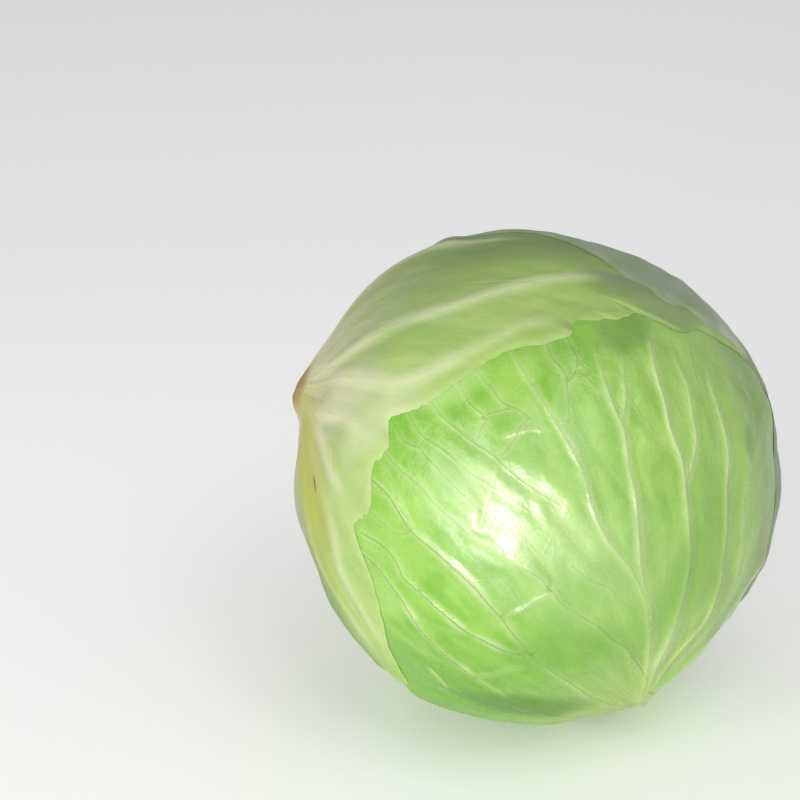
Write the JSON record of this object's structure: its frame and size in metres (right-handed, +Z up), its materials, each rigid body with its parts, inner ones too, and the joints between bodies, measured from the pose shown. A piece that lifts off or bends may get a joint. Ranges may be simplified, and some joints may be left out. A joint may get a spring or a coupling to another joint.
{
  "type": "white cabbage",
  "caption": "Dense round head of smooth-leaved white cabbage with overlapping ribbed wrapper leaves and a cut stalk, lying on its side.",
  "frame": {"origin": "centre of the small flat spot that the head rests on", "axes": "+Z up, -Y towards the side with the large bright leaf, +X to its right; the stalk points down, back and to the left"},
  "size_m": [0.1794, 0.1812, 0.1799],
  "materials": {
    "pale_heart": "satin",
    "cut_stalk": "matte",
    "inner_leaf": "satin",
    "bright_leaf": "gloss",
    "bloomed_leaf": "satin",
    "grey_leaf": "matte"
  },
  "bodies": {
    "root": {"heart": "pale_heart", "stalk": "cut_stalk", "wrapper_leaf_5": "inner_leaf", "wrapper_leaf_4": "inner_leaf", "wrapper_leaf_3": "bright_leaf", "wrapper_leaf_2": "bloomed_leaf", "wrapper_leaf_1": "grey_leaf"}
  },
  "joints": []
}
